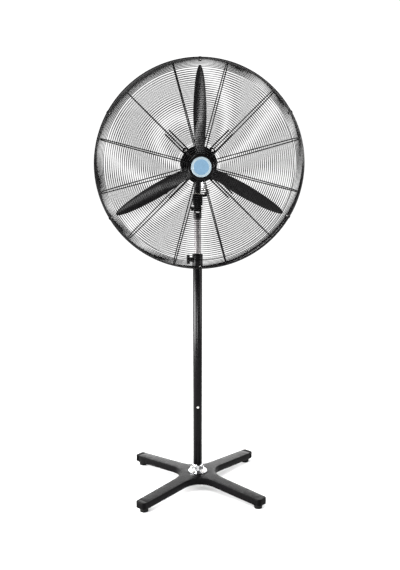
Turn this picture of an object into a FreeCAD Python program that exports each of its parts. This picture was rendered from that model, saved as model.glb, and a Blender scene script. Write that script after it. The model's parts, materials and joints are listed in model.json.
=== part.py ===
import FreeCAD, Part
import math
import os

# Pedestal fan with a 750 mm sweep. Millimetres, +Z up, the fan faces -Y.
# The origin lies on the floor, under the axis of the pole.

V = FreeCAD.Vector
X = V(1, 0, 0)
Y = V(0, 1, 0)
Z = V(0, 0, 1)
DOWN = V(0, 0, -1)
FORWARD = V(0, -1, 0)

FIT = 0.05                      # radial clearance of a running fit
GAP = 0.3                       # gap between pieces that move past each other
TOUCH = 0.02                    # gap between welded wires

# --- base -------------------------------------------------------------------
ARM_ANGLES = (45, 135, 225, 315)
ARM_REACH = 336.0               # end of the pressed arm, from the pole axis
ARM_HALF_ROOT = 28.0            # half width of an arm at the centre
ARM_HALF_END = 24.0             # half width of an arm at its end
ARM_FILLET = 88.0               # plan radius between two arms
BASE_TOP = 64.0                 # height of the base at the centre
ARM_END_TOP = 47.0              # height of the base at an arm's end
SKIRT = 29.0                    # depth of the pressed arms
SHEET = 2.5                     # sheet thickness of the pressed base
CAP_LENGTH = 20.0               # end cap beyond the arm
CAP_CORNER = 12.0
CAP_EDGE = 4.0
FOOT_RADIUS = 329.0             # pole axis to the middle of a foot
FOOT_R = 17.0
FOOT_HEIGHT = 18.0

# --- pole -------------------------------------------------------------------
FLANGE_R = 40.0
FLANGE_THICK = 6.0
FLANGE_TOP = 100.0
BOLT_SPREAD = 22.0              # flange bolts from the pole axis, in X and in Y
OUTER_R = 19.0
OUTER_BORE = 17.0
OUTER_TOP = 1000.0
INNER_R = 14.0
INNER_BORE = 12.5
INNER_BOTTOM = 640.0
INNER_TOP = 1184.0
COLLAR_R = 21.5
COLLAR_BOTTOM = 958.0
COLLAR_TOP = 1017.0
KNOB_Z = 993.0
KNOB_R = 19.5
KNOB_FACE = -44.0               # outer face of the height knob, in X
POLE_SCREW_Z = 360.0
SET_SCREW_Z = 84.0              # set screw through the flange's boss
BUSH_BOTTOM = 940.0

# --- neck -------------------------------------------------------------------
SOCKET_BOTTOM = 1161.0
SOCKET_R = 16.5
SOCKET_SCREW_Z = 1172.0
TILT_Z = 1201.0
TONGUE_R = 13.0
TONGUE_HALF = 7.7
EAR_INNER = 8.0
EAR_OUTER = 14.5
EAR_R = 16.0
EAR_DROP = 15.0                 # foot of the ears, below the tilt axis
TILT_BOLT_R = 4.0
WING_HUB_R = 6.5
WING_R = 5.0
WING_REACH = 12.0
BLOCK_BOTTOM = 1217.6
BLOCK_TOP = 1262.0
BLOCK_HALF = 19.5
STEM_R = 11.5
STEM_SHOULDER = 1264.4
STEM_WIDE_R = 14.0              # above the oscillation link
STEM_STEP = 1270.0
SPINDLE_R = 8.0
SPINDLE_BOTTOM = 1230.0
WASHER_THICK = 2.0
GRUB_Z = 1242.0                 # grub screw that holds the spindle

# --- head -------------------------------------------------------------------
HEAD_Z = 1387.5
MOTOR_R = 69.0
MOTOR_WALL = 4.0
MOTOR_FRONT = -82.0
MOTOR_SPLIT = -40.0
MOTOR_REAR = 48.0
LUG_RADIUS = 74.0               # guard lugs from the fan axis
LUG_ANGLES = (45, 135, 225, 315)
BEARING_R = 17.5
BEARING_BORE = 7.5
BEARING_WIDTH = 11.0
BEARING_FRONTS = (-76.0, 32.0)
BALL_R = 2.95
BALL_CIRCLE = 12.5
BALLS = 8
ROTOR_R = 35.5
STATOR_BORE = 36.0
CORE_FRONT = -52.0
CORE_REAR = -4.0
COVER_R = 66.0
COVER_WALL = 2.5
COVER_REAR = 128.0
COVER_SCREW_ANGLES = (0, 90, 180)

# --- oscillation gear -------------------------------------------------------
WORM_R = 5.0                    # pitch radius of the worm
WHEEL_R = 23.0                  # pitch radius of the worm wheel
WHEEL_TEETH = 36
WORM_PITCH = 2 * math.pi * WHEEL_R / WHEEL_TEETH
WORM_LENGTH = 6 * WORM_PITCH
CRANK_X = WORM_R + WHEEL_R
CRANK_Y = 78.0
CRANK_R = 5.0                   # crank shaft
CRANK_THROW = 19.1
CRANK_ARM_Z = 1267.2
CRANK_ARM_THICK = 6.0
LINK_Z = 1262.6                 # underside of the oscillation link
LINK_THICK = 4.0
ANCHOR_X = 31.0                 # fixed end of the oscillation link
ANCHOR_R = 3.0
ANCHOR_LUG = (1252.0, 1259.0)   # underside and top of the anchor's lug
EYE_OFFSET = 6.25               # the link's wide eye, from the anchor pin
EYE_R = 9.7
EYE_WALL = 2.4

# --- fan --------------------------------------------------------------------
BLADE_Y = -145.6                # plane of the blades' middle
BLADE_ANGLES = (90, 210, 330)   # seen from the front, from +X
# radius, chord, pitch in degrees
BLADE_STATIONS = (
    (50, 44, 37.0),
    (80, 50, 37.0),
    (120, 56, 34.5),
    (165, 60.5, 31.0),
    (210, 60, 28.5),
    (255, 54.5, 26.5),
    (300, 46, 24.8),
    (335, 35, 23.5),
    (360, 22, 22.5),
    (374, 9, 22.0),
)
BLADE_THICK = 3.6
BLADE_CAMBER = 0.07
BLADE_POINTS = 16                # points round one section
HUB_R = 44.0
HUB_FRONT = -172.0              # front of the hub's boss
PAD_FRONT = BLADE_THICK / 2 + 0.25  # front of a blade's pad on the hub, from the blade's middle

# --- guard ------------------------------------------------------------------
GUARD_R = 405.0
RIM_WIRE = 3.25
SPOKE_WIRE = 2.25
RING_WIRE = 1.0
RING_PITCH = 8.0
EDGE_PITCH = 5.0                # ring pitch in the corner arc and the rim wall
SPOKES = 12
SPOKE_PHASE = 15.0
LUG_SPOKE_START = 80.0          # rear spokes that end at a guard screw
RIM_CLEAR = 6.0                 # last thin ring, from the end of a spoke
RIM_HALF_GAP = 3.5              # rim wire centres from the guard's middle plane
SPOKE_WALL_R = GUARD_R - 2 * RIM_WIRE - SPOKE_WIRE
FRONT_APEX = -213.0             # spoke centreline at the fan axis
FRONT_DOME = 3200.0
FRONT_CORNER = 38.0
FRONT_SPOKE_START = 42.0
FRONT_RING_START = 56.0
REAR_APEX = -86.75
REAR_DOME = 3600.0
REAR_CORNER = 34.0
REAR_SPOKE_START = 66.0
REAR_RING_START = 90.0
PLATE_R = 50.0                  # front centre plate
BADGE_R = 38.5
MOUNT_R = 72.0                  # plate that carries the rear guard on the motor
MOUNT_BORE = 56.0
MOUNT_THICK = 3.1
MOUNT_EAR = 11.0                # radius of the plate's ears round the guard screws
STRUT_R = 3.0
STRUT_OFFSET = 11.0             # a strut from its lug's radial line
STRUT_START = 62.0
STRUT_END = 175.0
STRUT_LEAN = 0.033              # forward, per unit of length
CLIPS = 6
CLIP_SHEET = 1.0
CLIP_HALF = 5.0                 # half width of a rim clip
CLIP_DEPTH = 7.4                # inner faces of a clip's tabs, from the guard's middle plane
CLIP_SCREW = 4.5                # clip screw, inward from the rim wires


def cylinder(radius, start, direction, length):
    return Part.makeCylinder(radius, length, start, direction)


def tube(outer, inner, start, direction, length):
    return cylinder(outer, start, direction, length).cut(cylinder(inner, start, direction, length))


def block(low, high):
    """A box from its lowest to its highest corner."""
    return Part.makeBox(high[0] - low[0], high[1] - low[1], high[2] - low[2], V(*low))


def turned(points, centre, axis):
    """A solid of revolution; points are (radius, distance along the axis)."""
    outline = Part.makePolygon([V(r, 0, h) for r, h in points + [points[0]]])
    solid = Part.Face(outline).revolve(V(0, 0, 0), Z, 360)
    solid.Placement = FreeCAD.Placement(centre, FreeCAD.Rotation(Z, axis))
    return solid


def on_axis(y, x=0.0, z=0.0):
    """A point given from the fan axis."""
    return V(x, y, HEAD_Z + z)


def around(radius, degrees, y):
    """A point round the fan axis; degrees run from +X towards +Z."""
    angle = math.radians(degrees)
    return on_axis(y, radius * math.cos(angle), radius * math.sin(angle))


def turned_head(points):
    """A solid of revolution on the fan axis; points are (radius, y)."""
    return turned(points, on_axis(0), Y)


def hex_head(start, direction, across, height):
    """A hexagon prism, as a bolt head or nut."""
    radius = across / math.sqrt(3)
    corners = [V(radius * math.cos(k * math.pi / 3), radius * math.sin(k * math.pi / 3), 0)
               for k in range(7)]
    solid = Part.Face(Part.makePolygon(corners)).extrude(V(0, 0, height))
    solid.Placement = FreeCAD.Placement(start, FreeCAD.Rotation(Z, direction))
    return solid


def pan_screw(radius, length, head_r, head_h, seat, direction):
    """A screw with a round head; its shank runs from the seat along the direction."""
    shank = cylinder(radius, seat, direction, length)
    head = cylinder(head_r, seat, direction * -1, head_h)
    edge = min(head_h, head_r) * 0.4
    head = head.makeFillet(edge, [e for e in head.Edges
                                  if (e.CenterOfMass - seat).dot(direction) < -head_h * 0.9
                                  and isinstance(e.Curve, Part.Circle)])
    return shank.fuse(head).removeSplitter()


def save(name, shape):
    shape.exportStep(os.path.join("parts", name + ".step"))


def save_group(name, shapes):
    save(name, Part.makeCompound(shapes))


# --- base -------------------------------------------------------------------
def arm_slab(half_root, half_end, reach, height):
    """One arm's plan, extruded from the floor, pointing along +X."""
    corners = [V(0, -half_root, 0), V(reach, -half_end, 0), V(reach, half_end, 0),
               V(0, half_root, 0)]
    return Part.Face(Part.makePolygon(corners + [corners[0]])).extrude(V(0, 0, height))


def cross_plan(shrink):
    """The cross with its rounded inner corners, as a tall slab."""
    slab = None
    for angle in ARM_ANGLES:
        arm = arm_slab(ARM_HALF_ROOT - shrink, ARM_HALF_END - shrink, ARM_REACH, BASE_TOP + 10)
        arm.rotate(V(0, 0, 0), Z, angle)
        slab = arm if slab is None else slab.fuse(arm)
    slab = slab.removeSplitter()
    corners = []
    for edge in slab.Edges:
        middle = edge.CenterOfMass
        upright = abs(edge.tangentAt(edge.FirstParameter).z) > 0.99
        if upright and math.hypot(middle.x, middle.y) < ARM_REACH / 2:
            corners.append(edge)
    return slab.makeFillet(ARM_FILLET + shrink, corners)


def roof(drop):
    """Everything under the base's top surface, lowered by drop."""
    end = ARM_REACH + 60
    slope = (BASE_TOP - ARM_END_TOP) / (ARM_REACH - 60)
    top = BASE_TOP - drop
    points = [(0, -100), (end, -100), (end, top - slope * (end - 60)), (60, top), (0, top)]
    return turned(points, V(0, 0, 0), Z)


def make_base_cross():
    shell = cross_plan(0).common(roof(0)).cut(roof(SKIRT))
    hollow = cross_plan(SHEET).common(roof(SHEET))
    shell = shell.cut(hollow)
    for x in (-BOLT_SPREAD, BOLT_SPREAD):
        for y in (-BOLT_SPREAD, BOLT_SPREAD):
            shell = shell.cut(cylinder(4.2, V(x, y, BASE_TOP - 10), Z, 20))
    save("base_cross", shell.cut(cylinder(OUTER_R - 1.0, V(0, 0, BASE_TOP - 10), Z, 20)))


def end_cap():
    """A rounded plastic cap on the end of an arm that points along +X."""
    high = ARM_END_TOP + 0.5
    half = ARM_HALF_END + 1.0
    body = block((ARM_REACH - 34, -half, FOOT_HEIGHT), (ARM_REACH + CAP_LENGTH, half, high))
    outer = [e for e in body.Edges
             if abs(e.tangentAt(e.FirstParameter).z) > 0.99 and e.CenterOfMass.x > ARM_REACH]
    body = body.makeFillet(CAP_CORNER, outer)
    rims = [e for e in body.Edges
            if min(abs(e.CenterOfMass.z - high), abs(e.CenterOfMass.z - FOOT_HEIGHT)) < 0.01
            and e.CenterOfMass.x > ARM_REACH - 30]
    body = body.makeFillet(CAP_EDGE, rims)
    sleeve = block((ARM_REACH - 40, -half - 1, high - SKIRT - 1.2), (ARM_REACH, half + 1, high + 5))
    return body.cut(sleeve)


def rubber_foot():
    body = cylinder(FOOT_R, V(FOOT_RADIUS, 0, 0), Z, FOOT_HEIGHT)
    return body.makeChamfer(2.0, [e for e in body.Edges if abs(e.CenterOfMass.z) < 0.01])


def make_arm_ends():
    caps = []
    feet = []
    for angle in ARM_ANGLES:
        cap = end_cap()
        cap.rotate(V(0, 0, 0), Z, angle)
        caps.append(cap)
        foot = rubber_foot()
        foot.rotate(V(0, 0, 0), Z, angle)
        feet.append(foot)
    save_group("arm_end_caps", caps)
    save_group("rubber_feet", feet)


# --- pole -------------------------------------------------------------------
def flange_points():
    return [(x, y) for x in (-BOLT_SPREAD, BOLT_SPREAD) for y in (-BOLT_SPREAD, BOLT_SPREAD)]


def make_pole_flange():
    low = BASE_TOP
    plate = low + FLANGE_THICK
    profile = [(OUTER_R, low), (FLANGE_R, low), (FLANGE_R, plate - 1.5), (FLANGE_R - 1.5, plate),
               (27.5, plate), (24.5, plate + 4), (23.5, plate + 12), (23.0, FLANGE_TOP - 3),
               (21.0, FLANGE_TOP), (OUTER_R, FLANGE_TOP)]
    flange = turned(profile, V(0, 0, 0), Z)
    for x, y in flange_points():
        flange = flange.cut(cylinder(4.2, V(x, y, low - 1), Z, 30))
        flange = flange.cut(cylinder(8.2, V(x, y, plate), Z, 20))
    flange = flange.cut(cylinder(2.5, V(0, -15, SET_SCREW_Z), FORWARD, 15))
    save("pole_flange", flange)


def make_flange_bolts():
    pieces = []
    plate = BASE_TOP + FLANGE_THICK
    for x, y in flange_points():
        bolt = cylinder(4.0, V(x, y, BASE_TOP - 16), Z, 16 + FLANGE_THICK)
        bolt = bolt.fuse(hex_head(V(x, y, plate), Z, 13.0, 5.3))
        nut = hex_head(V(x, y, BASE_TOP - SHEET), DOWN, 13.0, 6.5)
        nut = nut.cut(cylinder(4.0, V(x, y, BASE_TOP - SHEET), DOWN, 8))
        pieces += [bolt, nut]
    save_group("flange_bolts", pieces)


def make_outer_pole():
    pole = tube(OUTER_R, OUTER_BORE, V(0, 0, BASE_TOP), Z, OUTER_TOP - BASE_TOP)
    pole = pole.cut(cylinder(4.3, V(0, 0, KNOB_Z), V(-1, 0, 0), 30))
    pole = pole.cut(cylinder(2.5, V(0, 0, POLE_SCREW_Z), FORWARD, 30))
    pole = pole.cut(cylinder(2.5, V(0, -15, SET_SCREW_Z), FORWARD, 15))
    save("outer_pole", pole)


def make_pole_screws():
    upper = pan_screw(2.5, 3.5, 4.6, 2.2, V(0, -OUTER_R - 0.25, POLE_SCREW_Z), Y)
    lower = cylinder(2.5, V(0, -OUTER_BORE - 0.3, SET_SCREW_Z), FORWARD, 7.5)
    save_group("pole_screws", [upper, lower])


def make_pole_bush():
    sleeve = tube(OUTER_BORE, INNER_R + FIT, V(0, 0, BUSH_BOTTOM), Z, OUTER_TOP - BUSH_BOTTOM)
    lip = tube(OUTER_R, INNER_R + FIT, V(0, 0, OUTER_TOP), Z, 3)
    bush = sleeve.fuse(lip).removeSplitter()
    save("pole_bush", bush.cut(cylinder(4.3, V(0, 0, KNOB_Z), V(-1, 0, 0), 30)))


def make_height_collar():
    top = OUTER_TOP + 3
    profile = [(OUTER_R, COLLAR_BOTTOM), (COLLAR_R - 1, COLLAR_BOTTOM), (COLLAR_R, COLLAR_BOTTOM + 1),
               (COLLAR_R, COLLAR_TOP - 3), (COLLAR_R - 3, COLLAR_TOP),
               (INNER_R + GAP, COLLAR_TOP), (INNER_R + GAP, top), (OUTER_R, top)]
    collar = turned(profile, V(0, 0, 0), Z)
    boss = cylinder(9.0, V(-COLLAR_R + 2, 0, KNOB_Z), V(-1, 0, 0), 11)
    collar = collar.fuse(boss).cut(cylinder(4.0 + FIT, V(0, 0, KNOB_Z), V(-1, 0, 0), 60))
    save("height_collar", collar.cut(cylinder(OUTER_R, V(0, 0, COLLAR_BOTTOM), Z, top - COLLAR_BOTTOM)))


def make_height_knob():
    start = V(KNOB_FACE, 0, KNOB_Z)
    knob = cylinder(KNOB_R, start, X, 12)
    knob = knob.makeFillet(2.0, [e for e in knob.Edges if isinstance(e.Curve, Part.Circle)])
    for k in range(8):
        angle = math.radians(45 * k + 22.5)
        reach = KNOB_R + 2.5
        notch = V(KNOB_FACE - 1, reach * math.cos(angle), KNOB_Z + reach * math.sin(angle))
        knob = knob.cut(cylinder(4.5, notch, X, 14))
    boss = cylinder(7.5, V(KNOB_FACE + 10, 0, KNOB_Z), X, 3.2)
    knob = knob.fuse(boss).cut(cylinder(4.0, V(KNOB_FACE + 4, 0, KNOB_Z), X, 20))
    save("height_knob", knob)
    screw = cylinder(4.0, V(KNOB_FACE + 4, 0, KNOB_Z), X, -KNOB_FACE - 4 - INNER_R - GAP)
    save("height_clamp_screw", screw)


def make_inner_pole():
    save("inner_pole", tube(INNER_R, INNER_BORE, V(0, 0, INNER_BOTTOM), Z, INNER_TOP - INNER_BOTTOM))
    glide = tube(OUTER_BORE - FIT, INNER_R, V(0, 0, INNER_BOTTOM), Z, 24)
    floor = cylinder(OUTER_BORE - FIT, V(0, 0, INNER_BOTTOM - 3), Z, 3)
    save("pole_glide", glide.fuse(floor).removeSplitter())


# --- neck -------------------------------------------------------------------
def make_neck_socket():
    socket = cylinder(SOCKET_R, V(0, 0, SOCKET_BOTTOM), Z, TILT_Z - 14.5 - SOCKET_BOTTOM)
    socket = socket.makeChamfer(1.5, [e for e in socket.Edges
                                      if abs(e.CenterOfMass.z - SOCKET_BOTTOM) < 0.01])
    socket = socket.cut(cylinder(INNER_R, V(0, 0, SOCKET_BOTTOM - 1), Z, INNER_TOP - SOCKET_BOTTOM + 1))
    for side in (-1, 1):
        x_low, x_high = sorted((side * EAR_INNER, side * EAR_OUTER))
        ear = cylinder(EAR_R, V(x_low, 0, TILT_Z), X, x_high - x_low)
        web = block((x_low, -EAR_R, TILT_Z - EAR_DROP), (x_high, EAR_R, TILT_Z))
        socket = socket.fuse(ear).fuse(web)
    socket = socket.cut(cylinder(TILT_BOLT_R, V(-30, 0, TILT_Z), X, 60))
    socket = socket.cut(cylinder(2.5, V(0, 0, SOCKET_SCREW_Z), Y, 30))
    save("neck_socket", socket.removeSplitter())
    save("socket_screw", pan_screw(2.5, 2.6, 4.5, 2.4, V(0, SOCKET_R + 0.2, SOCKET_SCREW_Z), FORWARD))


def make_tilt_bolt():
    bolt = cylinder(TILT_BOLT_R, V(-30, 0, TILT_Z), X, 30 + EAR_OUTER)
    save("tilt_bolt", bolt.fuse(hex_head(V(EAR_OUTER, 0, TILT_Z), X, 13.0, 5.5)))


def make_tilt_wing_nut():
    hub = cylinder(WING_HUB_R, V(-EAR_OUTER - GAP, 0, TILT_Z), V(-1, 0, 0), 12)
    face = -BLOCK_HALF - 1.0
    for side in (-1, 1):
        reach = side * WING_REACH
        wing = cylinder(WING_R, V(face, reach, TILT_Z + side * 2), V(-1, 0, 0), 5)
        web = block((face - 5, min(0, reach), TILT_Z - 4), (face, max(0, reach), TILT_Z + 4))
        hub = hub.fuse(wing).fuse(web)
    save("tilt_wing_nut", hub.cut(cylinder(TILT_BOLT_R + FIT, V(0, 0, TILT_Z), V(-1, 0, 0), 60)))


def make_tilt_bracket():
    body = block((-BLOCK_HALF, -20, BLOCK_BOTTOM), (BLOCK_HALF, 20, BLOCK_TOP))
    uprights = [e for e in body.Edges if abs(e.tangentAt(e.FirstParameter).z) > 0.99]
    body = body.makeFillet(5.0, uprights)
    tongue = block((-TONGUE_HALF, -TONGUE_R, TILT_Z), (TONGUE_HALF, TONGUE_R, BLOCK_BOTTOM + 2))
    tongue = tongue.fuse(cylinder(TONGUE_R, V(-TONGUE_HALF, 0, TILT_Z), X, 2 * TONGUE_HALF))
    low, high = ANCHOR_LUG
    lug = block((BLOCK_HALF - 4, -9, low), (ANCHOR_X, 9, high))
    lug = lug.fuse(cylinder(9.0, V(ANCHOR_X, 0, low), Z, high - low))
    body = body.fuse(tongue).fuse(lug)
    body = body.cut(cylinder(SPINDLE_R + FIT, V(0, 0, SPINDLE_BOTTOM - 1), Z, 60))
    body = body.cut(cylinder(TILT_BOLT_R + FIT, V(-30, 0, TILT_Z), X, 60))
    body = body.cut(cylinder(3.0, V(0, 0, GRUB_Z), Y, 40))
    body = body.cut(cylinder(ANCHOR_R, V(ANCHOR_X, 0, 1240), Z, 30))
    save("tilt_bracket", body.removeSplitter())


def make_tilt_hardware():
    washer = tube(SPINDLE_R + 5.5, SPINDLE_R + FIT, V(0, 0, BLOCK_TOP), Z, WASHER_THICK)
    save("thrust_washer", washer)
    low = ANCHOR_LUG[0]
    pin = cylinder(ANCHOR_R, V(ANCHOR_X, 0, low), Z, LINK_Z + LINK_THICK + 1.5 - low)
    save("anchor_pin", pin.fuse(cylinder(5.5, V(ANCHOR_X, 0, low - 2), Z, 2)))
    grub = cylinder(3.0, V(0, SPINDLE_R - 1.0, GRUB_Z), Y, 16)
    save("spindle_grub_screw", grub.fuse(cylinder(4.8, V(0, 20, GRUB_Z), Y, 3)))


# --- head stem and motor ----------------------------------------------------
def stem_screw_points():
    return [(x, y) for x in (-15, 15) for y in (-14, 14)]


def make_head_stem():
    saddle = block((-22, -21, HEAD_Z - 76), (22, 21, HEAD_Z - 60))
    saddle = saddle.makeFillet(4.0, [e for e in saddle.Edges
                                     if abs(e.tangentAt(e.FirstParameter).z) > 0.99])
    saddle = saddle.cut(cylinder(MOTOR_R, on_axis(-40), Y, 80))
    stem = cylinder(STEM_R, V(0, 0, STEM_SHOULDER), Z, HEAD_Z - 74 - STEM_SHOULDER)
    stem = stem.fuse(cylinder(STEM_WIDE_R, V(0, 0, STEM_STEP), Z, HEAD_Z - 74 - STEM_STEP))
    spindle = cylinder(SPINDLE_R, V(0, 0, SPINDLE_BOTTOM), Z, STEM_SHOULDER - SPINDLE_BOTTOM + 2)
    spindle = spindle.cut(tube(SPINDLE_R + 1, SPINDLE_R - 1.5, V(0, 0, 1238.5), Z, 7))
    piece = saddle.fuse(stem).fuse(spindle)
    for x, y in stem_screw_points():
        piece = piece.cut(cylinder(2.5, V(x, y, HEAD_Z - 90), Z, 60))
    save("head_stem", piece.removeSplitter())


def bearing_seat(front, wall_side):
    """The ring that holds a bearing, joined to an end wall at wall_side."""
    low, high = sorted((wall_side, front + (BEARING_WIDTH if wall_side < front else 0)))
    return tube(BEARING_R + 4.5, BEARING_R, on_axis(low), Y, high - low)


def make_motor_front_shell():
    inner = MOTOR_R - MOTOR_WALL
    profile = [(8.5, MOTOR_FRONT), (56, MOTOR_FRONT), (66, MOTOR_FRONT + 3), (MOTOR_R, MOTOR_FRONT + 9),
               (MOTOR_R, MOTOR_SPLIT), (inner, MOTOR_SPLIT), (inner, MOTOR_FRONT + 11),
               (60, MOTOR_FRONT + 6), (8.5, MOTOR_FRONT + 6)]
    shell = turned_head(profile)
    shell = shell.fuse(bearing_seat(BEARING_FRONTS[0], MOTOR_FRONT + 5))
    for angle in LUG_ANGLES:
        lug = cylinder(8.0, around(LUG_RADIUS, angle, MOTOR_FRONT), Y, 22)
        shell = shell.fuse(lug.cut(cylinder(inner + 1, on_axis(MOTOR_FRONT - 1), Y, 40)))
    for angle in LUG_ANGLES:
        shell = shell.cut(cylinder(2.5, around(LUG_RADIUS, angle, MOTOR_FRONT - 1), Y, 19))
    for k in range(12):
        slot = around(46, 30 * k + 15, MOTOR_FRONT - 1)
        shell = shell.cut(cylinder(4.0, slot, Y, 9))
    save("motor_front_shell", shell.removeSplitter())


def make_motor_rear_shell():
    inner = MOTOR_R - MOTOR_WALL
    profile = [(9, MOTOR_REAR - 4), (inner, MOTOR_REAR - 4), (inner, MOTOR_SPLIT + TOUCH),
               (MOTOR_R, MOTOR_SPLIT + TOUCH), (MOTOR_R, MOTOR_REAR - 2), (MOTOR_R - 2, MOTOR_REAR),
               (COVER_R - COVER_WALL, MOTOR_REAR), (COVER_R - COVER_WALL, MOTOR_REAR + 8),
               (COVER_R - COVER_WALL - 3, MOTOR_REAR + 8), (COVER_R - COVER_WALL - 3, MOTOR_REAR),
               (9, MOTOR_REAR)]
    shell = turned_head(profile)
    shell = shell.fuse(bearing_seat(BEARING_FRONTS[1], MOTOR_REAR - 3))
    for x, y in stem_screw_points():
        shell = shell.cut(cylinder(2.5, V(x, y, HEAD_Z - 72), Z, 12.2 - 4))
    for angle in COVER_SCREW_ANGLES:
        shell = shell.cut(cylinder(2.0, around(50, angle, MOTOR_REAR + 4), radial(angle), 20))
    save("motor_rear_shell", shell.removeSplitter())


def radial(degrees):
    angle = math.radians(degrees)
    return V(math.cos(angle), 0, math.sin(angle))


def make_housing_screws():
    """The screws of the stem's saddle and of the rear cover."""
    screws = [pan_screw(2.5, 12.2, 4.5, 3.0, V(x, y, HEAD_Z - 76), Z) for x, y in stem_screw_points()]
    screws += [pan_screw(2.0, 5.0, 3.8, 2.0, around(COVER_R, angle, MOTOR_REAR + 4), radial(angle) * -1)
               for angle in COVER_SCREW_ANGLES]
    save_group("housing_screws", screws)


def make_stator():
    core = tube(MOTOR_R - MOTOR_WALL, STATOR_BORE, on_axis(CORE_FRONT), Y, CORE_REAR - CORE_FRONT)
    for k in range(24):
        slot = block((STATOR_BORE - 2, CORE_FRONT - 1, HEAD_Z - 2.2), (56, CORE_REAR + 1, HEAD_Z + 2.2))
        slot.rotate(on_axis(0), Y, 15 * k)
        core = core.cut(slot)
    save("stator_core", core)
    ends = []
    for near, far in ((CORE_FRONT, CORE_FRONT - 12), (CORE_REAR, CORE_REAR + 12)):
        step = 3 if far > near else -3
        profile = [(41, near), (58, near), (58, far - step), (55, far), (44, far), (41, far - step)]
        ends.append(turned_head(profile))
    save_group("stator_windings", ends)


def raceway():
    return Part.makeTorus(BALL_CIRCLE, BALL_R + FIT, on_axis(0), Y)


def make_bearings():
    outers = []
    inners = []
    balls = []
    for front in BEARING_FRONTS:
        middle = front + BEARING_WIDTH / 2
        race = raceway()
        race.translate(V(0, middle, 0))
        outers.append(tube(BEARING_R, 14.2, on_axis(front), Y, BEARING_WIDTH).cut(race))
        inners.append(tube(10.8, BEARING_BORE, on_axis(front), Y, BEARING_WIDTH).cut(race))
        for k in range(BALLS):
            balls.append(Part.makeSphere(BALL_R, around(BALL_CIRCLE, 360 / BALLS * k, middle)))
    save_group("bearing_outer_rings", outers + balls)
    save_group("bearing_inner_rings", inners)


# --- rotor ------------------------------------------------------------------
def make_motor_shaft():
    shaft = cylinder(BEARING_BORE, on_axis(HUB_FRONT), Y, 46 - HUB_FRONT)
    shaft = shaft.fuse(cylinder(5.0, on_axis(-190), Y, 20))
    shaft = shaft.fuse(cylinder(5.0, on_axis(45), Y, 17))
    shaft = shaft.fuse(cylinder(2.5, on_axis(60), Y, CRANK_Y + WORM_LENGTH / 2 + 4 - 60))
    save("motor_shaft", shaft.removeSplitter())


def make_rotor_core():
    """The rotor's laminations and the two end rings of its cage."""
    core = tube(ROTOR_R, BEARING_BORE, on_axis(CORE_FRONT), Y, CORE_REAR - CORE_FRONT)
    rings = [tube(33, 20, on_axis(CORE_FRONT - 6), Y, 6), tube(33, 20, on_axis(CORE_REAR), Y, 6)]
    save_group("rotor_core", [core] + rings)


def make_worm():
    """A worm with a single right-handed thread, on the end of the shaft."""
    start = CRANK_Y - WORM_LENGTH / 2
    root = 3.6
    core = cylinder(root, V(0, 0, 0), Z, WORM_LENGTH)
    turns = WORM_LENGTH - 2 * WORM_PITCH
    path = Part.makeHelix(WORM_PITCH, turns, root)
    tooth = [V(root - 0.4, 0, -0.95), V(6.1, 0, -0.35), V(6.1, 0, 0.35), V(root - 0.4, 0, 0.95)]
    profile = Part.makePolygon(tooth + [tooth[0]])
    thread = Part.Wire(path).makePipeShell([profile], True, True)
    thread.translate(V(0, 0, WORM_PITCH * 1.5))
    worm = core.fuse(thread).cut(cylinder(2.5, V(0, 0, -1), Z, WORM_LENGTH + 2))
    worm.Placement = FreeCAD.Placement(on_axis(start), FreeCAD.Rotation(X, -90))
    save("worm", worm)


def make_fan_hub():
    disc = cylinder(HUB_R, on_axis(BLADE_Y - 8), Y, 9)
    boss = cylinder(17.0, on_axis(HUB_FRONT), Y, 46)
    hub = disc.fuse(boss)
    for angle in BLADE_ANGLES:
        pad = block((36, PAD_FRONT, -17), (78, PAD_FRONT + 5, 17))
        hub = hub.fuse(place_blade(pad_on_blade(pad), angle))
    for angle in BLADE_ANGLES:
        hub = hub.cut(place_blade(pad_on_blade(block((47.5, -12, -30), (85, PAD_FRONT, 30))), angle))
        for hole in blade_screw_places():
            hub = hub.cut(place_blade(hole_along_blade(hole, 3.0), angle))
    hub = hub.cut(cylinder(BEARING_BORE, on_axis(-180), Y, 60))
    save("fan_hub", hub.removeSplitter())


def blade_pitch(radius):
    stations = BLADE_STATIONS
    for (r0, _, p0), (r1, _, p1) in zip(stations, stations[1:]):
        if radius <= r1:
            return p0 + (p1 - p0) * (radius - r0) / (r1 - r0)
    return stations[-1][2]


def pad_on_blade(shape):
    """Turns a shape drawn on a flat blade to the pitch of the blade's root.

    It is drawn with the blade pointing along +X, its rear face towards +Y and its chord along Z.
    """
    turned_shape = shape.copy()
    turned_shape.rotate(V(0, 0, 0), X, blade_pitch(64))
    return turned_shape


def place_blade(shape, angle):
    """Moves a shape from the blade's own frame to its place on the fan."""
    placed = shape.copy()
    placed.rotate(V(0, 0, 0), Y, -angle)
    placed.translate(on_axis(BLADE_Y))
    return placed


def blade_screw_places():
    return ((58, -8), (70, 8))


def hole_along_blade(place, radius):
    return pad_on_blade(cylinder(radius, V(place[0], -20, place[1]), Y, 40))


def blade_section(radius, chord, pitch):
    """A thin cambered section across the blade, which points along +X."""
    camber = BLADE_CAMBER * chord * min(1.0, max(0.0, (radius - 85) / 80.0))
    half = BLADE_THICK / 2
    outline = []
    for k in range(BLADE_POINTS):
        turn = 2 * math.pi * k / BLADE_POINTS
        bulge = math.copysign(abs(math.sin(turn)) ** 0.6, math.sin(turn))
        across = chord / 2 * math.cos(turn)
        lift = camber * math.sin(turn) ** 2
        outline.append((across, lift + half * bulge))
    angle = math.radians(pitch)
    points = []
    for across, lift in outline:
        back = across * math.sin(angle) - lift * math.cos(angle)
        side = across * math.cos(angle) + lift * math.sin(angle)
        points.append(V(radius, back, -side))
    curve = Part.BSplineCurve()
    curve.interpolate(points, PeriodicFlag=True)
    return Part.Wire(curve.toShape())


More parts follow.
